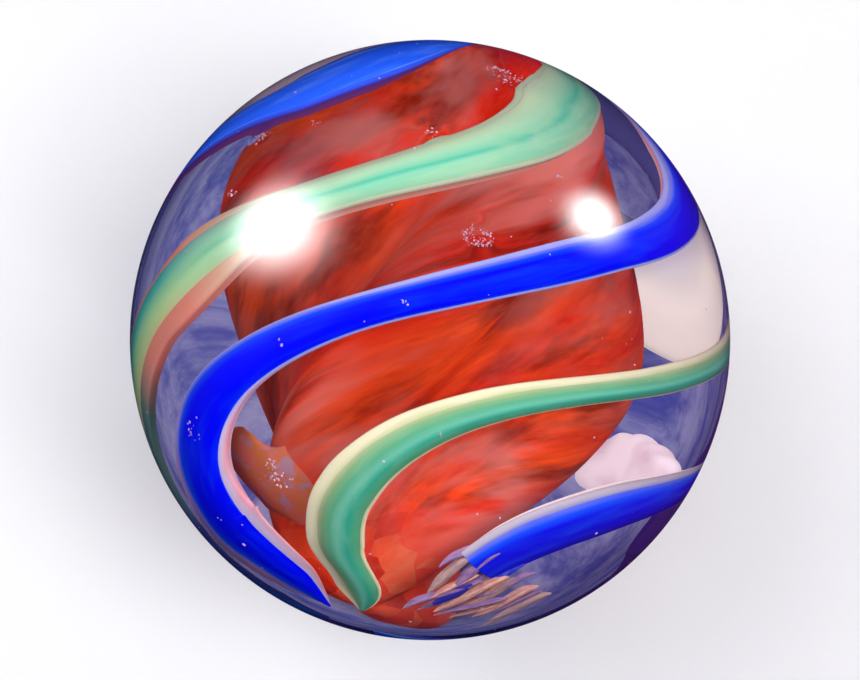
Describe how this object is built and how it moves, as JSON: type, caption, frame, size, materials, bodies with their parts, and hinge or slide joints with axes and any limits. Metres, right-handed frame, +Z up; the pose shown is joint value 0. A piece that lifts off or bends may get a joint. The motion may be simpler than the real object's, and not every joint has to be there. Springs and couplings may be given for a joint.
{
  "type": "glass marble",
  "caption": "Handmade glass marble: a clear ball round a twisted red core, with blue and green strips swirling round it just under the surface.",
  "frame": {"origin": "middle of the ball", "axes": "+Z up, +Y along the twist axis, with the end of the twist where one blue strip is broken off toward -Y"},
  "size_m": [0.016, 0.016, 0.016],
  "materials": {
    "clear_glass": "clear, polished, faintly violet",
    "red_glass": "streaky translucent red, glossy",
    "blue_glass": "opaque deep blue, glossy",
    "green_glass": "opaque mint to teal green, streaked, glossy",
    "white_glass": "opaque lavender white, glossy",
    "cream_glass": "opaque pale cream, glossy"
  },
  "bodies": {
    "root": {"casing": "clear_glass", "core": "red_glass", "blue_strip_1": "blue_glass", "blue_strip_2": "blue_glass", "blue_strip_3": "blue_glass", "blue_fragment": "blue_glass", "green_strip_1": "green_glass", "green_strip_2": "green_glass", "green_strip_3": "green_glass", "white_base_1": "white_glass", "white_base_2": "white_glass", "white_base_3": "white_glass", "cream_base_1": "cream_glass", "cream_base_2": "cream_glass", "cream_base_3": "cream_glass"}
  },
  "joints": []
}
